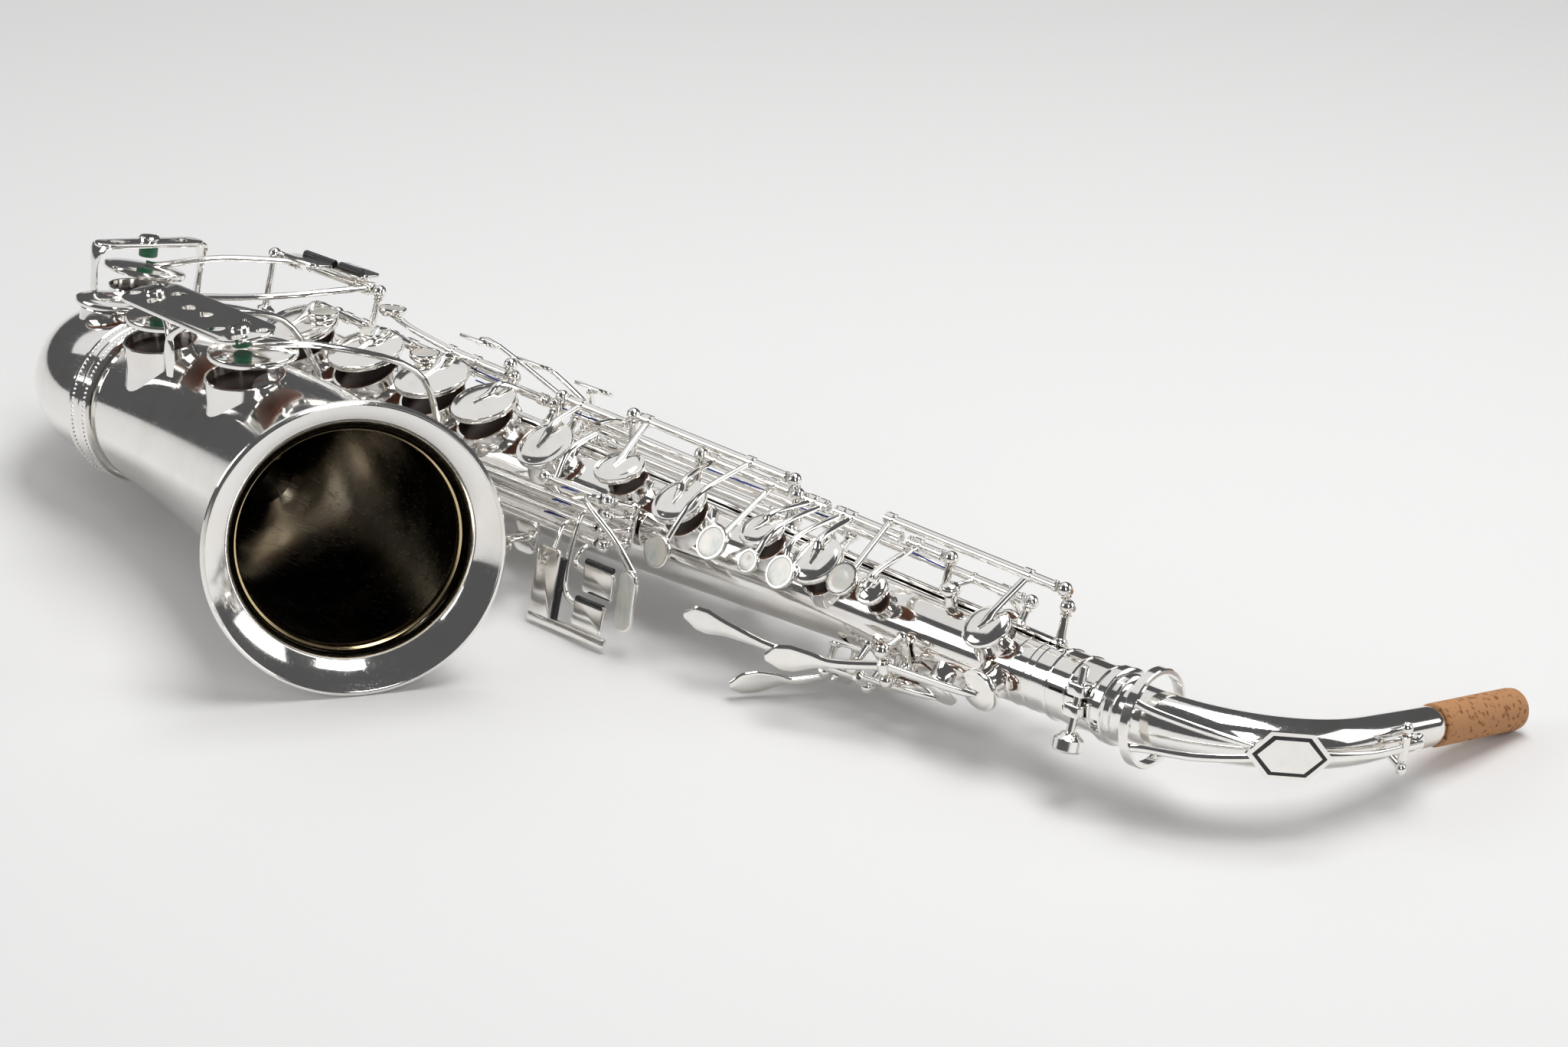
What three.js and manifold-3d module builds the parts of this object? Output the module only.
// A jointed saxophone of the alto pattern, lying on its left side.
//
// The horn is laid out along its body axis, in millimetres and degrees:
//   station  distance from the receiver's mouth towards the bow (the X axis points the other way)
//   angle    round the body, from the bell side (0) over the player's right-hand side (90) to the back (180)
//   rise     height above the body tube's surface
// The whole horn is then rolled and pitched into the pose in which it lies on a table.

import * as THREE from "three";
import { mergeVertices } from "three/addons/utils/BufferGeometryUtils.js";
import Module from "manifold-3d";

const wasm = await Module();
wasm.setup();

const GAP = 0.3;
const SMALLEST_EDGE = 0.15;

const TUBE_RADIUS_AT_MOUTH = 12.6;
const TUBE_TAPER = 0.0285;
const WALL = 1.0;
const RECEIVER_END = 26;
const BODY_END = 500;

const BEND_STATION = 503;
const BEND_RADIUS = 44.5;
const BOW_BELL_RADIUS = 32;
const BELL_START = 490;
const BELL_RIM_HEADING = 31.5;
const BELL_RIM_RADIUS = 61.5;
const BELL_THROAT_RADIUS = 47;
const BELL_THROAT_DEPTH = 14;
const BELL_LENGTH = 229;
const RIM_BEAD = 1.5;

const NECK_START = 6;
const NECK_STRAIGHT = 6;
const NECK_BEND_RADIUS = 60;
const NECK_BACK_LENGTH = 44;
const NECK_RADIUS = 11.6;
const NECK_TIP_RADIUS = 7.0;
const CORK_LENGTH = 53;
const CORK_RADIUS = 8.6;

const CHIMNEY_RISE = 5;
const CUP_RIM = 2.4;
const CUP_HEIGHT = 4.6;
const HINGE_TUBE = 2.0;
const BALL = 3.1;
const POST_STEM = 1.9;
const STACK_OPENING = 5.5;
const BELL_KEY_OPENING = 8;
const CLOSED_KEY_TRAVEL = 5;
const SIDE_KEY_TRAVEL = 3.2;

// The pose in which the horn lies: rolled about its body axis, then pitched.
const ROLL = -10.76;
const PITCH = -0.8;

const SILVER = { color: 0xd8d5cf, roughness: 0.18, metalness: 1 };
const KEY_SILVER = { color: 0xdedbd4, roughness: 0.22, metalness: 1 };
const CORK = { color: 0xb98a5c, roughness: 0.9, metalness: 0 };

const degrees = THREE.MathUtils.degToRad;
const vector = (x, y, z) => new THREE.Vector3(x, y, z);
const at = (station, y, z) => vector(-station, y, z);

// ---------- solids ----------

// A closed three.js geometry as a manifold-3d solid, with its collapsed triangles dropped.
function solid(geometry) {
  const plain = geometry.index ? geometry.toNonIndexed() : geometry.clone();
  plain.deleteAttribute("normal");
  plain.deleteAttribute("uv");
  const merged = mergeVertices(plain, 1e-3);
  const index = merged.index.array;
  const position = merged.attributes.position;
  const corners = [vector(), vector(), vector()];
  const kept = [];
  let volume = 0;
  for (let i = 0; i < index.length; i += 3) {
    const [a, b, c] = index.slice(i, i + 3);
    if (a === b || b === c || c === a) continue;
    kept.push(a, b, c);
    [a, b, c].forEach((n, k) => corners[k].fromBufferAttribute(position, n));
    volume += corners[0].dot(corners[1].clone().cross(corners[2]));
  }
  if (volume < 0) kept.reverse();
  return new wasm.Manifold(
    new wasm.Mesh({ numProp: 3, vertProperties: position.array, triVerts: new Uint32Array(kept) }),
  );
}

const join = (solids) => solids.reduce((all, next) => all.add(next)).simplify(SMALLEST_EDGE);
const cut = (body, tools) => tools.reduce((rest, tool) => rest.subtract(tool), body);

function geometryOf(made) {
  const data = made.getMesh();
  const geometry = new THREE.BufferGeometry();
  geometry.setAttribute("position", new THREE.BufferAttribute(data.vertProperties, 3));
  geometry.setIndex(new THREE.BufferAttribute(data.triVerts, 1));
  geometry.computeVertexNormals();
  return geometry;
}

// ---------- shapes placed in the horn's frame ----------

// Turns a geometry made about +Y so that +Y points along direction, and moves its origin to point.
function stand(geometry, point, direction) {
  const turn = new THREE.Quaternion().setFromUnitVectors(vector(0, 1, 0), direction.clone().normalize());
  return geometry.applyQuaternion(turn).translate(point.x, point.y, point.z);
}

function rod(from, to, radius = HINGE_TUBE, sides = 6) {
  const along = to.clone().sub(from);
  const geometry = new THREE.CylinderGeometry(radius, radius, along.length(), sides);
  geometry.translate(0, along.length() / 2, 0);
  return solid(stand(geometry, from, along));
}

function ball(centre, radius = BALL) {
  return solid(new THREE.SphereGeometry(radius, 6, 4).translate(centre.x, centre.y, centre.z));
}

// A solid of revolution from [radius, height] pairs that start and end on the axis or close on themselves.
function turned(pairs, point, direction, sides = 16) {
  const profile = pairs.map(([radius, height]) => new THREE.Vector2(radius, height));
  return solid(stand(new THREE.LatheGeometry(profile, sides), point, direction));
}

function ring(inner, outer, from, to, point, direction, sides = 24) {
  return turned([[inner, from], [outer, from], [outer, to], [inner, to], [inner, from]], point, direction, sides);
}

// A flat bar between two points: width lies along side, thickness across it.
function bar(from, to, width, thickness, side) {
  const along = to.clone().sub(from);
  const x = along.clone().normalize();
  const z = side.clone().addScaledVector(x, -side.dot(x)).normalize();
  const y = z.clone().cross(x);
  const middle = from.clone().add(to).multiplyScalar(0.5);
  const place = new THREE.Matrix4().makeBasis(x, y, z).setPosition(middle);
  const overlap = thickness * 0.6;
  return solid(new THREE.BoxGeometry(along.length() + overlap, thickness, width).applyMatrix4(place));
}

const AXIS = vector(1, 0, 0);

function bars(points, width = 3, thickness = 2.4, side = AXIS) {
  return points.slice(1).map((point, i) => bar(points[i], point, width, thickness, side));
}

// A flat plate: an outline drawn in the plane of two directions, given a thickness along their normal.
function plate(outline, thickness, point, across, up) {
  const geometry = new THREE.ExtrudeGeometry(outline, { depth: thickness, bevelEnabled: false, curveSegments: 4 });
  const x = across.clone().normalize();
  const z = x.clone().cross(up).normalize();
  const y = z.clone().cross(x);
  const place = new THREE.Matrix4().makeBasis(x, y, z).setPosition(point);
  return solid(geometry.applyMatrix4(place));
}

function roundedOutline(width, height, corner) {
  const [w, h] = [width / 2, height / 2];
  const shape = new THREE.Shape();
  shape.absarc(w - corner, h - corner, corner, 0, Math.PI / 2);
  shape.absarc(corner - w, h - corner, corner, Math.PI / 2, Math.PI);
  shape.absarc(corner - w, corner - h, corner, Math.PI, Math.PI * 1.5);
  shape.absarc(w - corner, corner - h, corner, Math.PI * 1.5, Math.PI * 2);
  return shape;
}

function ovalOutline(width, height) {
  return new THREE.Shape().absellipse(0, 0, width / 2, height / 2, 0, Math.PI * 2);
}

// A tube of changing radius along a curve in the horn's middle plane. Pairs are [radius, distance along].
function bentTube(pairs, curve, sides) {
  const profile = pairs.map(([radius, distance]) => new THREE.Vector2(radius, distance));
  const geometry = new THREE.LatheGeometry(profile, sides);
  const position = geometry.attributes.position;
  for (let i = 0; i < position.count; i++) {
    const { point, heading } = curve(position.getY(i));
    const across = vector(heading.y, -heading.x, 0);
    const place = point.clone().addScaledVector(across, position.getX(i));
    position.setXYZ(i, place.x, place.y, position.getZ(i));
  }
  return solid(geometry);
}

// The closed section of a thin wall from samples of its outer radius.
function shell(samples, wall) {
  const outer = samples.map(([radius, distance]) => [radius, distance]);
  const inner = samples.map(([radius, distance]) => [radius - wall, distance]).reverse();
  return [...outer, ...inner, outer[0]];
}

// ---------- curves of the horn ----------

const tubeRadius = (station) => TUBE_RADIUS_AT_MOUTH + TUBE_TAPER * station;

const outward = (angle) => vector(0, -Math.cos(degrees(angle)), Math.sin(degrees(angle)));

function onBody(station, angle, rise) {
  return at(station, 0, 0).addScaledVector(outward(angle), tubeRadius(station) + rise);
}

// The bow's centre line by distance, from the body leg round to the bell leg.
const BOW_BODY_LEG = BEND_STATION - BODY_END - GAP;
const BOW_BEND = Math.PI * BEND_RADIUS;
const BOW_LENGTH = BOW_BODY_LEG + BOW_BEND + BEND_STATION - BELL_START - GAP;

function bowCurve(distance) {
  const turn = THREE.MathUtils.clamp((distance - BOW_BODY_LEG) / BEND_RADIUS, 0, Math.PI);
  const heading = vector(-Math.cos(turn), -Math.sin(turn), 0);
  const point = at(BEND_STATION + BEND_RADIUS * Math.sin(turn), BEND_RADIUS * (Math.cos(turn) - 1), 0);
  const before = Math.min(distance - BOW_BODY_LEG, 0);
  const after = Math.max(distance - BOW_BODY_LEG - BOW_BEND, 0);
  return { point: point.addScaledVector(heading, before + after), heading };
}

const bowRadius = (distance) =>
  THREE.MathUtils.lerp(tubeRadius(BODY_END), BOW_BELL_RADIUS, distance / BOW_LENGTH);

// A point and radius of the bow by the angle turned round its bend.
function bowAt(turnDegrees) {
  const distance = BOW_BODY_LEG + degrees(turnDegrees) * BEND_RADIUS;
  return { point: bowCurve(distance).point, radius: bowRadius(distance) };
}

// The bell's centre line: an arc from the bow towards the rim's heading.
function bellCurve(distance) {
  const rate = degrees(BELL_RIM_HEADING) / BELL_LENGTH;
  const now = rate * distance;
  const point = at(
    BELL_START - Math.sin(now) / rate,
    -2 * BEND_RADIUS - (1 - Math.cos(now)) / rate,
    0,
  );
  return { point, heading: vector(Math.cos(now), -Math.sin(now), 0) };
}

function bellRadius(distance) {
  const throat = BELL_LENGTH - BELL_THROAT_DEPTH;
  if (distance > throat) {
    const flare = (distance - throat) / BELL_THROAT_DEPTH;
    return THREE.MathUtils.lerp(BELL_THROAT_RADIUS, BELL_RIM_RADIUS - RIM_BEAD, flare ** 2);
  }
  const slope = (BELL_THROAT_RADIUS - BOW_BELL_RADIUS) / throat;
  return BOW_BELL_RADIUS + slope * distance + 3 * Math.sin((Math.PI * distance) / throat);
}

function neckCurve(distance) {
  const bend = (Math.PI / 2) * NECK_BEND_RADIUS;
  const turn = THREE.MathUtils.clamp((distance - NECK_STRAIGHT) / NECK_BEND_RADIUS, 0, Math.PI / 2);
  const heading = vector(Math.cos(turn), Math.sin(turn), 0);
  const point = vector(
    NECK_START + NECK_STRAIGHT + NECK_BEND_RADIUS * Math.sin(turn),
    NECK_BEND_RADIUS * (1 - Math.cos(turn)),
    0,
  );
  const before = Math.min(distance - NECK_STRAIGHT, 0);
  const after = Math.max(distance - NECK_STRAIGHT - bend, 0);
  return { point: point.addScaledVector(heading, before + after), heading };
}
const NECK_LENGTH = NECK_STRAIGHT + (Math.PI / 2) * NECK_BEND_RADIUS + NECK_BACK_LENGTH;
const neckRadius = (distance) => {
  const share = Math.min(distance / NECK_LENGTH, 1);
  return THREE.MathUtils.lerp(NECK_RADIUS, NECK_TIP_RADIUS + 0.9, share);
};

// ---------- hinge lines: each gives a point by station ----------

const stackLine = (station) => at(station, 3, 27.6 + 0.03 * station);
const upperLine = (station) => at(station, 0, 35 + 0.0245 * station);
const lowerLine = (station) => onBody(station, 114, 10);
const sideLine = (angle) => (station) => onBody(station, angle, 11);
const bowKeyLine = (station) => at(station, 8, 52);
const tableLine = (row) => (station) => at(station, row % 3 ? -34.5 : -34, 14.5 - 6.3 * row);

// ---------- meshes ----------

const horn = new THREE.Group();

function add(name, made, look = KEY_SILVER, hinge = null) {
  const mesh = new THREE.Mesh(geometryOf(made), new THREE.MeshStandardMaterial(look));
  mesh.name = name;
  if (hinge) mesh.userData.hinge = hinge;
  horn.add(mesh);
  return mesh;
}

// ---------- keys ----------

// A padded cup standing on a tone hole: a domed lid whose pad ends where the chimney begins.
function cupLid(point, normal, radius) {
  const profile = [[0, 0], [radius, 0], [radius, CUP_RIM], [radius * 0.7, CUP_HEIGHT - 0.9], [0, CUP_HEIGHT]];
  return turned(profile, point, normal, radius > 12 ? 12 : 8);
}

// A round touch: a shallow metal cup that holds an inlay.
function pearlCup(point, normal, radius) {
  return turned([[0, 0], [radius - 1.4, 0], [radius, 3.5], [0, 3.5]], point, normal, 8);
}

const chimneys = { body: [], bow: [], bell: [] };

function chimney(where, point, normal, radius, depth = 14) {
  chimneys[where].push({ point, normal, radius, depth });
}

// The arm from a hinge line to a cup: out of the hub, over the lid and down to a tip on it.
function cupArm(hub, via, point, normal, radius) {
  const top = point.clone().addScaledVector(normal, CUP_HEIGHT);
  const towards = (via.length ? via[via.length - 1] : hub).clone().sub(top);
  towards.addScaledVector(normal, -towards.dot(normal)).normalize();
  const edge = top.clone().addScaledVector(towards, radius * 0.8).addScaledVector(normal, 1.6);
  const tip = top.clone().addScaledVector(towards, -radius * 0.25);
  return bars([hub, ...via, edge, tip], 3, 2.4);
}

// One key. It is built closed on its tone hole. A key that rests open is then turned up about its hinge.
function key(name, { line, from, to, cups = [], pearls = [], extra = [], opening = 0, travel = CLOSED_KEY_TRAVEL, lead = cups[0] }) {
  const [start, end] = [line(to), line(from)];
  const pieces = [rod(start, end)];
  for (const cup of cups) {
    const { point, normal, radius, hub, via = [] } = cup;
    pieces.push(cupLid(point.clone().addScaledVector(normal, GAP), normal, radius));
    if (radius > 5) pieces.push(...cupArm(line(hub), via, point, normal, radius));
    else pieces.push(...bars([line(hub), point.clone().addScaledVector(normal, 3)], 2.4, 2));
  }
  for (const { point, normal, radius, hub, via = [] } of pearls) {
    pieces.push(pearlCup(point, normal, radius));
    pieces.push(...bars([line(hub), ...via, point.clone().addScaledVector(normal, 1.4)], 2.6, 2.2));
  }
  pieces.push(...extra);
  return addHinged(name, join(pieces), start, end, lead, opening, travel);
}

// Hinges a piece on the line from start to end. Its leading point rises by travel when the key is worked.
// A key that rests open is turned up by its opening first, and is worked by closing it.
function addHinged(name, made, start, end, lead, opening, travel) {
  const axis = end.clone().sub(start).normalize();
  const lever = lead.point.clone().sub(start);
  lever.addScaledVector(axis, -lever.dot(axis));
  const lifts = axis.clone().cross(lever).dot(lead.normal) > 0 ? 1 : -1;
  const angle = (opening || travel) / lever.length();
  const posed = opening ? turnedAbout(made, start, axis, lifts * angle) : made;
  const way = axis.multiplyScalar(opening ? -lifts : lifts);
  return add(name, posed, KEY_SILVER, { point: start, axis: way, range: THREE.MathUtils.radToDeg(angle) });
}

function turnedAbout(made, point, axis, angle) {
  const geometry = geometryOf(made).translate(-point.x, -point.y, -point.z);
  geometry.applyQuaternion(new THREE.Quaternion().setFromAxisAngle(axis, angle));
  return solid(geometry.translate(point.x, point.y, point.z));
}

// A cup on the body tube, with its chimney.
function bodyCup(station, angle, radius, hub = station, via = []) {
  const point = onBody(station, angle, CHIMNEY_RISE);
  const normal = outward(angle);
  chimney("body", point, normal, radius - 2);
  return { point, normal, radius, hub, via };
}

function bodyPearl(station, angle, rise, radius, hub = station, via = []) {
  return { point: onBody(station, angle, rise), normal: outward(angle), radius, hub, via };
}

const open = { opening: STACK_OPENING };

key("c_vent_key", { line: stackLine, from: 99, to: 118, cups: [bodyCup(111, 30, 7, 113)], ...open });
key("b_key", {
  line: stackLine, from: 122, to: 159, cups: [bodyCup(143, 36, 11.5, 150)],
  pearls: [bodyPearl(152, 12, 9, 7, 155, [onBody(155, 42, 12)])], ...open,
});
key("bis_key", {
  line: stackLine, from: 163, to: 177, cups: [bodyCup(176, 44, 9.5, 172)],
  pearls: [bodyPearl(169, 10, 9, 5, 166, [onBody(166, 44, 12)])], ...open,
});
key("a_key", {
  line: stackLine, from: 185, to: 234, cups: [bodyCup(222, 40, 12, 230)],
  pearls: [bodyPearl(190, 14, 10, 7.4, 195)], ...open,
});
key("g_sharp_key", {
  line: stackLine, from: 283, to: 320, cups: [bodyCup(309, 50, 13, 312)],
  extra: bars([stackLine(285), at(285, -12, 37)], 3, 2.4),
});
key("front_f_key", {
  line: upperLine, from: 37, to: 129, cups: [bodyCup(57, 46, 10, 52)],
  pearls: [bodyPearl(123, 32, 14, 7.2, 126)],
});
key("g_key", {
  line: upperLine, from: 185, to: 273, cups: [bodyCup(261, 52, 11, 268)],
  pearls: [bodyPearl(213, -5, 12, 7, 206.5, [onBody(206.5, 42, 16)])], ...open,
});
key("trill_key", {
  line: stackLine, from: 359, to: 398, cups: [bodyCup(379, 150, 6.5, 380, [at(380, 18, 34)])], travel: 3,
  pearls: [{ point: at(441, 6, 44.5), normal: vector(0, 0, 1), radius: 6.4, hub: 396, via: [at(425, 4, 42.5)] }],
});

key("f_sharp_key", { line: lowerLine, from: 342, to: 366, cups: [bodyCup(350, 54, 14.5, 346)], ...open });
for (const [name, from, to, station, radius, pearl] of [
  ["f_key", 372, 404, 386, 16.5, 399],
  ["e_key", 411, 444, 430, 17, 434],
  ["d_key", 451, 484, 474, 17, 468],
]) {
  key(name, {
    line: lowerLine, from, to, cups: [bodyCup(station, 58, radius, station + 6)],
    pearls: [bodyPearl(pearl, 72, CHIMNEY_RISE + CUP_HEIGHT - 0.6, 7, pearl, [onBody(pearl, 84, 10.6)])], ...open,
  });
}

// Side keys: a long tube on the right-hand side with its paddle by the right palm.
for (const [name, angle, from, cup, cupAngle, radius, touch] of [
  ["high_e_key", 122, 64, 74, 164, 8, 318],
  ["side_c_key", 137, 168, 178, 179, 8, 356],
  ["side_b_flat_key", 152, 206, 218, 194, 8.5, 394],
]) {
  const line = sideLine(angle);
  const paddle = onBody(touch, 110, 21.5);
  const knee = onBody(322, angle, 15);
  const reach = onBody(Math.max(touch - 10, 322), 114, 20.5 + (angle - 122) * 0.12);
  key(name, {
    line, from, to: 324, cups: [bodyCup(cup, cupAngle, radius)], travel: SIDE_KEY_TRAVEL,
    extra: [
      ...bars([line(321), knee, reach, paddle], 3, 2.2, outward(20)),
      plate(roundedOutline(21, 9, 4), 1.6, paddle, AXIS, outward(20)),
    ],
  });
}

// See-saw levers, each on a short tube across the body: the palm keys and the octave thumb lever.
const SEESAW_RISE = 13;
const seesawLine = (station, angle) => (offset) =>
  onBody(station, angle, SEESAW_RISE).addScaledVector(outward(angle + 90), offset);

const palmKeys = [
  ["palm_f_key", 52, 9, 96, -22, 130, -22, 27],
  ["palm_e_flat_key", 77, 8.5, 114, -48, 178, -22, 25],
  ["palm_d_key", 101, 9, 136, -72, 154, -46, 30],
];
for (const [name, cup, radius, station, angle, touch, touchAngle, touchRise] of palmKeys) {
  const line = seesawLine(station, angle);
  const spoon = onBody(touch, touchAngle, touchRise);
  const along = spoon.clone().sub(line(0)).normalize();
  const tangent = outward(angle + 90);
  key(name, {
    line, from: -3.4, to: 3.4, lead: bodyCup(cup, angle, radius),
    extra: [
      cupLid(onBody(cup, angle, CHIMNEY_RISE + GAP), outward(angle), radius),
      ...bars([onBody(cup - 2, angle, CHIMNEY_RISE + CUP_HEIGHT), onBody(cup + radius, angle, SEESAW_RISE - 1.5),
        line(0), spoon], 3.4, 2.6, tangent),
      plate(ovalOutline(27, 13), 3, spoon, along, outward(touchAngle + 90)),
    ],
  });
}

// Low C and E flat stand on the bow, and their touches lie side by side under the right little finger.
const UP = vector(0, 0, 1);

function bowCup(turnDegrees, rise, radius, hub) {
  const { point, radius: tube } = bowAt(turnDegrees);
  const top = point.clone().setZ(tube + rise);
  chimney("bow", top, UP, radius - 2.5, 22);
  return { point: top, normal: UP, radius, hub };
}

const lowCCup = bowCup(95, 6, 18.5, 512);
const eFlatCup = bowCup(150, 3, 16.5, 461);

function bowKeyArm(hub, cup, via) {
  const top = cup.point.clone().setZ(cup.point.z + CUP_HEIGHT);
  return bars([bowKeyLine(hub), ...via, top], 3.6, 3, vector(0, 0, 1).cross(top.clone().sub(bowKeyLine(hub))));
}

key("low_c_key", {
  line: bowKeyLine, from: 506, to: 523, cups: [lowCCup], opening: 6,
  extra: [
    ...bars([bowKeyLine(508), at(503, 1, 54), at(497, -2, 56.5)], 4, 2.4, vector(0, 1, 0)),
    plate(roundedOutline(24, 13, 4), 2.2, at(488, -6, 56), AXIS, vector(0, 1, 0)),
  ],
});
key("e_flat_key", {
  line: bowKeyLine, from: 457, to: 502, cups: [eFlatCup],
  extra: [
    ...bowKeyArm(461, eFlatCup, [at(480, -38, 46)]),
    ...bars([bowKeyLine(470), at(470, 11, 56.5)], 4, 2.4, AXIS),
    plate(roundedOutline(26, 12, 4), 2.2, at(472, 8.5, 56), AXIS, vector(0, 1, 0)),
  ],
});

const TABLE_START = 255;

// The bell keys: long tubes between the body and the bell, from the left-hand table to their cups.
const BELL_KEY_TILT = 13;
const bellKeyNormal = outward(90 - BELL_KEY_TILT);

function bellCup(point, normal, radius, hub) {
  chimney("bell", point, normal, radius - 2.5, 34);
  return { point, normal, radius, hub };
}

const lowBCup = bellCup(at(455, -111, 38), bellKeyNormal, 18, 0);
const lowBFlatCup = bellCup(at(378, -127, 43), bellKeyNormal, 19, 0);
const cSharpNormal = outward(-143);
const cSharpCup = bellCup(bellCurve(60).point.addScaledVector(cSharpNormal, 42), cSharpNormal, 16, 0);

function bellKey(name, { row, to, cup, via, touch, opening, travel }) {
  const line = tableLine(row);
  const [start, end] = [line(to), line(TABLE_START)];
  const top = cup.point.clone().addScaledVector(cup.normal, CUP_HEIGHT);
  const made = join([
    rod(start, end),
    cupLid(cup.point.clone().addScaledVector(cup.normal, GAP), cup.normal, cup.radius),
    ...bars([line(to - 2), ...via, top], 4, 3),
    ...touch,
  ]);
  addHinged(name, made, start, end, cup, opening, travel);
}

// Touches of the left-hand table face the front. Each is a plate on an arm from its tube.
const TABLE_Y = -46;

function tableArm(row, hub, points) {
  const line = tableLine(row);
  return bars([line(hub), at(hub, -40.5, line(hub).z - 2.5), ...points], 2.2, 2.2);
}

function tablePlate(outline, station, height) {
  return plate(outline, 2, at(station, TABLE_Y + 2, height), AXIS, UP);
}

bellKey("low_b_key", {
  row: 1, to: 432, cup: lowBCup, opening: BELL_KEY_OPENING,
  via: [at(430, -46, 26), at(436, -64, 45), at(446, -92, 46)],
  touch: [
    ...tableArm(1, 259.4, [at(259.4, TABLE_Y + 3, -27), at(240, TABLE_Y + 3, -29)]),
    tablePlate(roundedOutline(18, 13, 2), 240, -30),
  ],
});
bellKey("low_b_flat_key", {
  row: 2, to: 345, cup: lowBFlatCup, opening: BELL_KEY_OPENING,
  via: [at(343, -44, 5), at(343, -50, 22), at(346, -66, 46), at(362, -104, 52)],
  touch: [
    ...tableArm(2, 269, [at(269, TABLE_Y + 2, -12)]),
    tablePlate(roundedOutline(14, 31, 3), 269, -25),
    tablePlate(roundedOutline(47, 4.5, 1.6), 252.5, -40),
  ],
});
bellKey("low_c_sharp_key", {
  row: 3, to: 434, cup: cSharpCup, travel: CLOSED_KEY_TRAVEL,
  via: [at(432, -42, -14)],
  touch: [
    ...tableArm(3, 256.4, [at(256.4, TABLE_Y + 3, -13), at(241, TABLE_Y + 2.4, -14)]),
    tablePlate(roundedOutline(18, 12, 2), 240, -16),
  ],
});

// The G sharp lever on the table's top row lifts the G sharp key on the stack.
{
  const line = tableLine(0);
  const [start, end] = [line(286), line(TABLE_START)];
  const made = join([
    rod(start, end),
    ...bars([line(284), at(284, -28, 27), at(284, -14, 33)], 3, 2.4),
    ...bars([line(257), at(257, -41, 13.5), at(236, -43, 3), at(223, TABLE_Y + 3, -8)], 2.4, 2.2),
    tablePlate(ovalOutline(10, 26), 223, -19),
  ]);
  add("g_sharp_lever", made, KEY_SILVER, { point: start, axis: end.clone().sub(start).normalize(), range: 5 });
}

// ---------- octave mechanism ----------

// The thumb lever at the back rocks on its own cross tube, and its far end stands inside the neck key's ring.
// The body vent has a small cup of its own.
const THUMB_PIVOT = [52, -164];
key("thumb_octave_key", {
  line: seesawLine(...THUMB_PIVOT), from: -3.4, to: 3.4, travel: 3,
  lead: { point: vector(16, 14.8, 0), normal: outward(180) },
  extra: [
    turned([[0, 0], [5.6, 0], [6.6, 1.4], [6.6, 3], [0, 3.6]], onBody(110, -172, 11), outward(-172), 12),
    ...bars([
      onBody(110, -172, 12), onBody(84, -168, 14), onBody(...THUMB_PIVOT, SEESAW_RISE), onBody(24, -172, 11),
      at(6, 21, 0), at(-3, 18.5, 0), at(-12, 14.8, 0), at(-19, 14.8, 0),
    ], 3, 2.2, UP),
  ],
});
key("body_octave_vent_key", {
  line: sideLine(100), from: 62, to: 84, cups: [bodyCup(86, 76, 4.4, 82)], travel: 2.5,
});

// ---------- neck ----------

const neckSamples = [0, 6, 25, 45, 65, 85, 105, 125, NECK_LENGTH].map((d) => [neckRadius(d), d]);
const tenonAndCollar = [
  [11.2, -NECK_START - 22], [12.2, -NECK_START - 22], [12.2, -NECK_START + GAP], [15.6, -NECK_START + GAP],
  [15.6, -1.5], [13.4, -0.5], [13.4, 1.5], [10.4, 1.5], [11.2, -NECK_START - 22],
];
const tipPairs = [
  [NECK_TIP_RADIUS, NECK_LENGTH - 2], [NECK_TIP_RADIUS, NECK_LENGTH + CORK_LENGTH],
  [NECK_TIP_RADIUS - WALL, NECK_LENGTH + CORK_LENGTH], [NECK_TIP_RADIUS - WALL, NECK_LENGTH - 2],
];
tipPairs.push(tipPairs[0]);
const neckPost = (distance) => {
  const { point, heading } = neckCurve(distance);
  const out = vector(heading.y, -heading.x, 0);
  return { foot: point.clone().addScaledVector(out, neckRadius(distance) - 0.6), out, point };
};
const NECK_HINGE_DISTANCE = 108;
const NECK_HINGE_RISE = 6;
const neckHinge = neckPost(NECK_HINGE_DISTANCE);
const neckPivot = neckHinge.foot.clone().addScaledVector(neckHinge.out, NECK_HINGE_RISE);
const neckVent = neckPost(NECK_HINGE_DISTANCE + 12);
add("neck_tube", join([
  bentTube(tenonAndCollar, neckCurve, 16),
  bentTube(shell(neckSamples, WALL), neckCurve, 12),
  bentTube(tipPairs, neckCurve, 12),
  ...[-1, 1].flatMap((side) => {
    const top = neckPivot.clone().setZ(side * 8);
    const root = neckHinge.foot.clone().addScaledVector(neckHinge.out, -2.5).setZ(side * 4);
    return [rod(root, top, 1.5), ball(top, 2.4)];
  }),
  ring(1.4, 2.6, -2, 2, neckVent.foot, neckVent.out, 10),
]), SILVER);
add("neck_cork", bentTube([
  [NECK_TIP_RADIUS + GAP, NECK_LENGTH + GAP], [CORK_RADIUS, NECK_LENGTH + GAP],
  [CORK_RADIUS, NECK_LENGTH + CORK_LENGTH - 1.5], [CORK_RADIUS - 0.8, NECK_LENGTH + CORK_LENGTH - 0.5],
  [NECK_TIP_RADIUS + GAP, NECK_LENGTH + CORK_LENGTH - 0.5], [NECK_TIP_RADIUS + GAP, NECK_LENGTH + GAP],
], neckCurve, 16), CORK);

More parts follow.
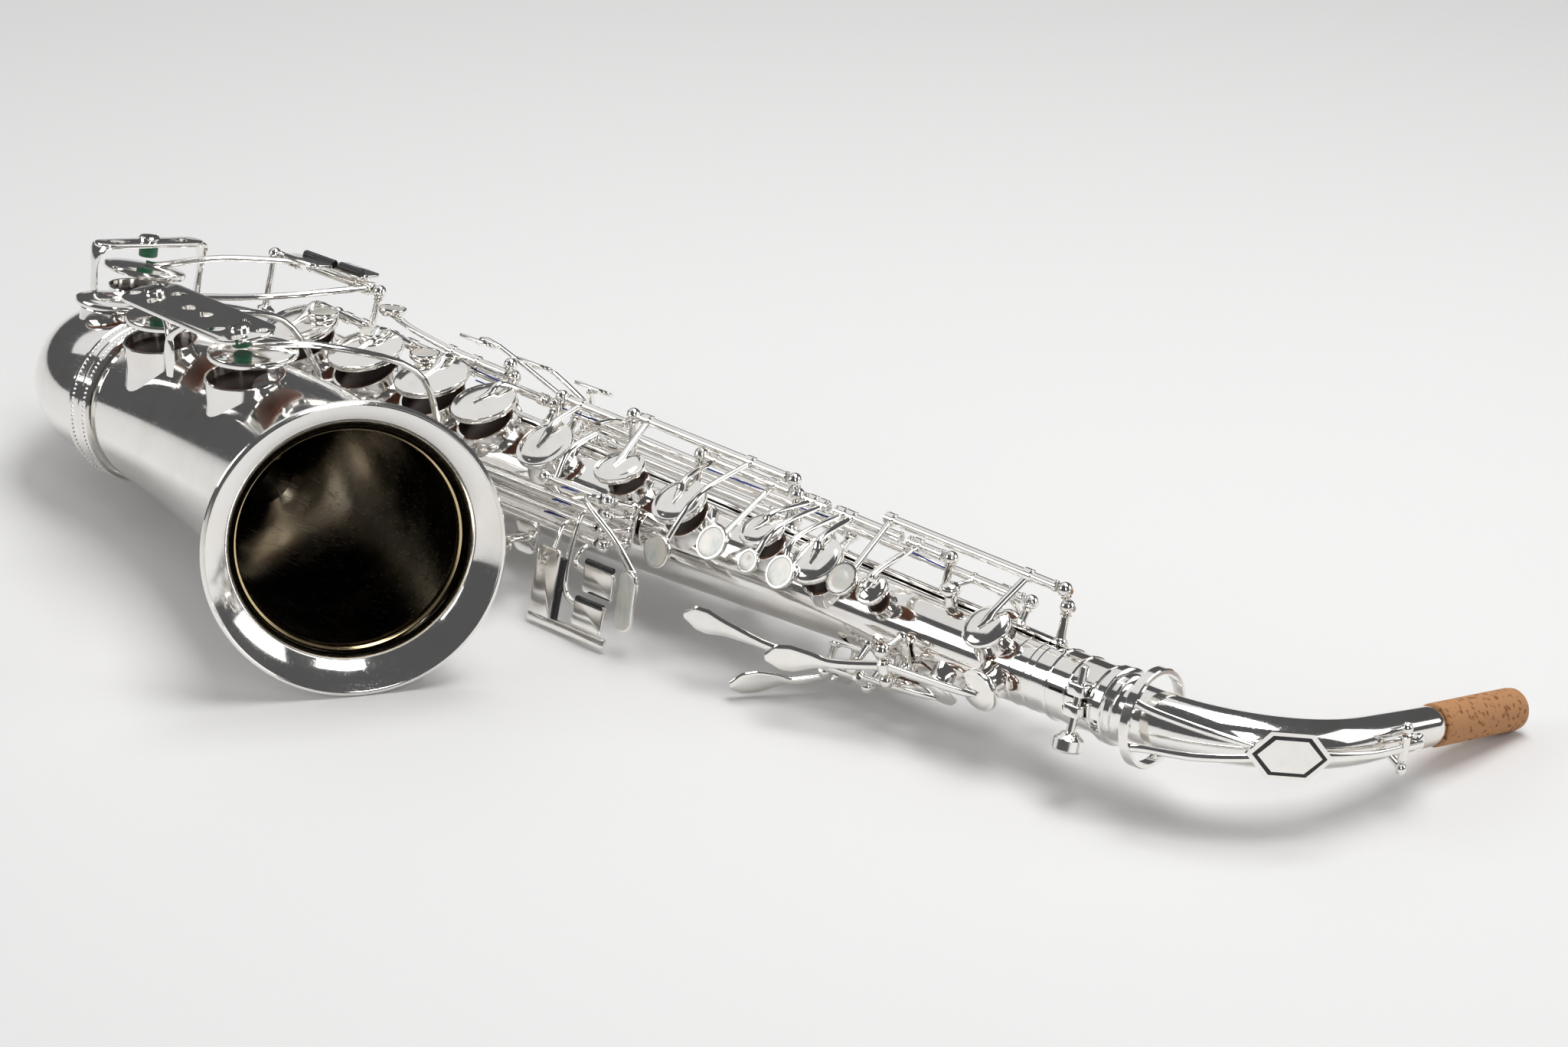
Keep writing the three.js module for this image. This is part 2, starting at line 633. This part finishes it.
// The neck octave key: a ring round the tenon, a long curved arm with a shield, and a pad over the vent.
{
  const RING_RISE = 5.5;
  const ringPoint = vector(NECK_START + 12, 0, 0);
  const ringTilt = vector(1, 0.12, 0);
  const armPoints = [14, 34, 54, 74, 94, NECK_HINGE_DISTANCE].map((distance) => {
    const { point, out } = neckPost(distance);
    return point.clone().addScaledVector(out, neckRadius(distance) + RING_RISE);
  });
  const shieldAt = neckPost(62);
  const shieldCentre = shieldAt.point.clone().addScaledVector(shieldAt.out, neckRadius(62) + RING_RISE - 0.6);
  const diamond = new THREE.Shape([[-17, 0], [-5, -9], [5, -9], [17, 0], [5, 9], [-5, 9]].map(
    ([x, y]) => new THREE.Vector2(x, y)));
  const heading = neckCurve(62).heading;
  const pad = neckVent.foot.clone().addScaledVector(neckVent.out, 2.4 + GAP);
  add("neck_octave_key", join([
    ring(17.8, 19.8, -2.2, 2.2, ringPoint, ringTilt, 20),
    ...bars([ringPoint.clone().add(vector(0, -18.6, 0)), armPoints[0], ...armPoints.slice(1)], 4, 2, UP),
    plate(diamond, 1.6, shieldCentre, heading, UP),
    rod(neckPivot.clone().setZ(-4.8), neckPivot.clone().setZ(4.8), 2, 8),
    ...bars([neckPivot, pad.clone().addScaledVector(neckVent.out, 2.4)], 3, 2, UP),
    turned([[0, 0], [3.6, 0], [3.6, 2], [0, 2.8]], pad, neckVent.out, 10),
  ]), KEY_SILVER, { point: neckPivot, axis: vector(0, 0, -1), range: 2.7 });
}

// ---------- body, bow, bell ----------

function chimneyTools(list, height = 0) {
  const outer = list.map(({ point, normal, radius, depth }) =>
    rod(point.clone().addScaledVector(normal, -depth), point.clone().addScaledVector(normal, height), radius, 9));
  const inner = list.map(({ point, normal, radius, depth }) =>
    rod(point.clone().addScaledVector(normal, -depth - 1), point.clone().addScaledVector(normal, 1), radius - WALL, 9));
  return { outer, inner };
}

{
  const from = RECEIVER_END + GAP;
  const cone = (shrink, extra) => {
    const [start, end] = [from - extra, BODY_END + extra];
    const [top, bottom] = [tubeRadius(start) - shrink, tubeRadius(end) - shrink];
    return turned([[0, 0], [top, 0], [bottom, end - start], [0, end - start]], at(start, 0, 0), vector(-1, 0, 0), 20);
  };
  const { outer, inner } = chimneyTools(chimneys.body);
  add("body_tube", cut(join([cone(0, 0), ...outer]), [cone(WALL, 1), ...inner]), SILVER);
}
{
  const steps = Array.from({ length: 10 }, (_, i) => (i * BOW_LENGTH) / 9);
  const { outer, inner } = chimneyTools(chimneys.bow);
  const filled = bentTube([[0, 0], ...steps.map((d) => [bowRadius(d), d]), [0, BOW_LENGTH]], bowCurve, 18);
  const bore = bentTube(
    [[0, -1], ...[-1, ...steps.slice(1, -1), BOW_LENGTH + 1].map((d) => [bowRadius(d) - WALL, d]), [0, BOW_LENGTH + 1]],
    bowCurve, 18);
  add("bow", cut(join([filled, ...outer]), [bore, ...inner]), SILVER);
}
{
  const throat = BELL_LENGTH - BELL_THROAT_DEPTH;
  const steps = [0, 60, 120, 175, throat, throat + 8, BELL_LENGTH];
  const outside = steps.map((d) => [bellRadius(d), d]);
  const inside = steps.map((d) => [bellRadius(d) - WALL - 0.2, d]).reverse();
  inside[0][0] = BELL_RIM_RADIUS - RIM_BEAD - 0.6;
  inside[0][1] = BELL_LENGTH + 0.6;
  const { outer, inner } = chimneyTools(chimneys.bell);
  const bead = [[BELL_RIM_RADIUS - RIM_BEAD, BELL_LENGTH - RIM_BEAD], [BELL_RIM_RADIUS, BELL_LENGTH - 0.6]];
  bead.push([BELL_RIM_RADIUS, BELL_LENGTH + 0.4], [BELL_RIM_RADIUS - 0.8, BELL_LENGTH + 1]);
  const filled = bentTube([[0, 0], ...outside.slice(0, -1), ...bead, [0, BELL_LENGTH + 1]], bellCurve, 24);
  const mouth = [...inside.slice().reverse(), [BELL_RIM_RADIUS - 1.6, BELL_LENGTH + 2]];
  const bore = bentTube([[0, -1], [mouth[0][0], -1], ...mouth.slice(1), [0, BELL_LENGTH + 2]], bellCurve, 24);
  add("bell", cut(join([filled, ...outer]), [bore, ...inner]), SILVER);
}

function ferrule(name, point, direction, inner, width, sides = 20) {
  const [low, high] = [-width / 2, width / 2];
  const profile = [[inner, low], [inner + 1.6, low], [inner + 2.2, low + 1.6], [inner + 1.4, 0]];
  profile.push([inner + 2.2, high - 1.6], [inner + 1.6, high], [inner, high], [inner, low]);
  add(name, turned(profile, point, direction, sides), SILVER);
}
ferrule("body_bow_ferrule", at(BODY_END - 2, 0, 0), AXIS, tubeRadius(BODY_END) + 0.8, 10);
ferrule("bell_bow_ferrule", at(BELL_START + 1, -2 * BEND_RADIUS, 0), AXIS, BOW_BELL_RADIUS + 1.6, 13);

// The receiver: a split sleeve with two lugs that its thumbscrew draws together.
const CLAMP_STATION = -1;
const clampFrom = vector(4, -17.5, -12);
const clampTo = vector(4, -14.5, 15);
const clampWay = clampTo.clone().sub(clampFrom).normalize();
{
  const sleeve = ring(12.6, 13.9, CLAMP_STATION + 2, RECEIVER_END, vector(0, 0, 0), vector(-1, 0, 0), 24);
  const lugAt = (share) => clampFrom.clone().lerp(clampTo, share).setX(-6);
  const lugs = [0.36, 0.66].map((share) => {
    const centre = lugAt(share);
    return solid(new THREE.BoxGeometry(8, 7, 5).translate(centre.x, centre.y + 0.6, centre.z));
  });
  const slit = solid(new THREE.BoxGeometry(24, 8, 1.2).translate(-11, -14, 1.6));
  const hole = rod(clampFrom.clone().setX(-6), clampTo.clone().setX(-6), 1.8 + GAP, 10);
  const bore = rod(vector(2, 0, 0), vector(-RECEIVER_END - 2, 0, 0), 12.6, 24);
  add("neck_receiver", cut(join([sleeve, ...lugs]), [bore, slit, hole]), SILVER);
  const start = clampFrom.clone().setX(-6);
  add("neck_clamp_screw", join([
    rod(start, clampTo.clone().setX(-6), 1.8, 10),
    turned([[0, -7], [5.4, -7], [6, -6], [6, 0], [4.4, 1], [0, 1]], start, clampWay, 12),
  ]), KEY_SILVER, { point: start, axis: clampWay.clone(), range: 180 });
}

// ---------- ribs, posts and guards ----------

// A rib that follows the body tube at one angle.
function rib(from, to, angle, width = 6) {
  return bar(onBody(from, angle, 0.9), onBody(to, angle, 0.9), width, 1.1, outward(angle + 90));
}

function post(foot, head, stem = POST_STEM) {
  return [rod(foot, head, stem), ball(head)];
}

const FOOT_RISE = 1.2;

add("stack_rib", join([
  rib(30, 362, 96),
  ...[33, 95, 181, 238, 324, 355].flatMap((s) => post(onBody(s, 96, FOOT_RISE), stackLine(s))),
  ...[33, 181, 355].flatMap((s) => post(stackLine(s), upperLine(s), 1.6)),
  ...post(onBody(277, 96, FOOT_RISE), upperLine(277)),
]));
add("lower_stack_rib", join([
  rib(334, 490, 114, 5),
  ...[338, 369, 407.5, 447.5, 487.5].flatMap((s) => post(onBody(s, 114, FOOT_RISE), lowerLine(s), 1.6)),
]));
for (const [name, angle, station] of [
  ["high_e_post", 122, 60],
  ["side_c_post", 137, 164],
  ["side_b_flat_post", 152, 202],
]) {
  const foot = onBody(station, angle, FOOT_RISE);
  add(name, join([rib(station - 6, station + 6, angle, 5), ...post(foot, sideLine(angle)(station))]));
}
add("side_key_rib", join([
  ...bars([116, 137, 158].map((angle) => onBody(328, angle, 1.9)), 7, 1.6),
  ...[122, 137, 152].flatMap((angle) => post(onBody(328, angle, 1.6), sideLine(angle)(328))),
]));
for (const [name, station, angle] of [
  ...palmKeys.map(([name, , , station, angle]) => [name.replace("key", "posts"), station, angle]),
  ["thumb_lever_posts", ...THUMB_PIVOT],
]) {
  const line = seesawLine(station, angle);
  const foot = (offset) => onBody(station, angle, FOOT_RISE).addScaledVector(outward(angle + 90), offset);
  add(name, join([
    bar(foot(-8), foot(8), 5, 1.1, AXIS),
    ...[-6.9, 6.9].flatMap((offset) => post(foot(offset), line(offset), 1.6)),
  ]));
}
{
  const foot = (offset) => onBody(TABLE_START - 4, 8, 1.6).addScaledVector(outward(98), offset);
  add("table_posts", join([
    bar(foot(-10), foot(10), 8, 1.4, AXIS),
    ...[7.5, 2.5, -2.5, -7.5].flatMap((offset, row) => post(foot(offset), tableLine(row)(TABLE_START - 4), 1.7)),
  ]));
}
for (const [row, station] of [[0, 289.5], [1, 436], [2, 349], [3, 438.5]]) {
  const foot = onBody(station, row === 3 ? -6 : 6, FOOT_RISE);
  add(["g_sharp_lever_post", "low_b_post", "low_b_flat_post", "low_c_sharp_post"][row], join([
    bar(foot.clone().setX(foot.x - 1), foot.clone().setX(foot.x + 1), 5, 1.2, outward(96)),
    ...post(foot, tableLine(row)(station), 1.7),
  ]));
}
add("bow_key_body_post", join([
  rib(448, 457, 98, 5),
  ...post(onBody(452.5, 98, FOOT_RISE), bowKeyLine(453)),
]));
add("bow_key_bow_post", join([
  turned([[0, 0], [4.5, 0], [4.5, 1.6], [0, 3]], at(526, 5, 26), vector(0, 0.3, 1), 10),
  ...post(at(526, 5, 27), bowKeyLine(527)),
]));

add("bell_brace", join([
  ring(9.5, 13.5, -1.6, 1.6, at(302, -56, -15), UP, 16),
  ...bars([at(302, -43.5, -15), at(302, -30, -15)], 7, 3.2, AXIS),
  ...bars([at(302, -68.5, -15), at(302, -82.8, -15)], 7, 3.2, AXIS),
  bar(at(302, -29, -22), at(302, -29, -8), 14, 2, AXIS),
]));

const thumbHookFoot = onBody(322, 180, 0.8);
add("thumb_hook", join([
  plate(roundedOutline(20, 10, 3), 1.6, thumbHookFoot, AXIS, vector(0, 0, -1)),
  ...bars([onBody(322, 180, 2), onBody(325, 180, 12), onBody(345, 180, 17)], 8, 2.6, UP),
]));
add("thumb_rest", turned([[0, 0], [8, 0], [8.4, 3.6], [0, 4.4]], onBody(134, 180, 0.6), outward(180), 16));
const strapFoot = onBody(262, 180, 0.8);
add("strap_ring", join([
  plate(roundedOutline(22, 9, 3), 1.6, strapFoot, AXIS, vector(0, 0, -1)),
  ring(4.4, 7, -1.3, 1.3, strapFoot.clone().add(vector(0, 8, 0)), UP, 14),
]));

// Guards: a pierced plate over the open cups, on legs that stand beside the chimneys.
function bumper(point, normal, length) {
  return turned([[0, -length], [3.4, -length], [4.8, 0], [4.8, 2.4], [0, 2.4]], point, normal, 8);
}

{
  const over = (cup, rise) => cup.point.clone().addScaledVector(bellKeyNormal, rise);
  const [left, right] = [over(lowBCup, 21), over(lowBFlatCup, 20)];
  const along = right.clone().sub(left);
  const middle = left.clone().add(right).multiplyScalar(0.5);
  const front = vector(0, -Math.cos(degrees(BELL_KEY_TILT)), -Math.sin(degrees(BELL_KEY_TILT)));
  const inFront = (point, reach, drop) =>
    point.clone().addScaledVector(front, reach).addScaledVector(bellKeyNormal, -drop);
  const edge = inFront(middle, 13, 1);
  add("bell_key_guard", join([
    plate(roundedOutline(along.length() + 30, 27, 12), 2, middle, along, front),
    ...bars([edge, inFront(middle, 15, 10), inFront(middle, 17, 24)], 6, 2, AXIS),
    bumper(left, bellKeyNormal, 4),
    bumper(right, bellKeyNormal, 4),
  ]));
}
{
  const top = lowCCup.point.clone().setZ(lowCCup.point.z + 21);
  const side = vector(0.12, 1, 0).normalize();
  const away = (reach, z) => top.clone().addScaledVector(side, reach).setZ(z);
  add("low_c_guard", join([
    plate(roundedOutline(54, 13, 6), 2, top, side, vector(1, -0.12, 0)),
    ...bars([away(26, top.z + 1), away(28, top.z - 8), away(27, 30.5)], 5, 2, vector(1, -0.12, 0)),
    ...bars([away(-26, top.z + 1), away(-27, top.z - 8), away(-26, 30.5)], 5, 2, vector(1, -0.12, 0)),
    bumper(top, UP, 4),
  ]));
}

// The plate on the outside of the bend, where the horn is set down.
add("bow_guard_plate", plate(
  roundedOutline(46, 26, 8), 2, at(bowAt(90).point.x * -1 + bowAt(90).radius + GAP, -BEND_RADIUS, 0),
  vector(0, 1, 0), UP.clone().negate(),
));

// ---------- the lying pose ----------

horn.rotation.set(degrees(ROLL), degrees(PITCH), 0);
const object = new THREE.Group();
object.add(horn);
object.updateMatrixWorld(true);
const box = new THREE.Box3().setFromObject(object, true);
const centre = box.getCenter(vector());
horn.position.set(-centre.x, -centre.y, -box.min.z);

export default object;
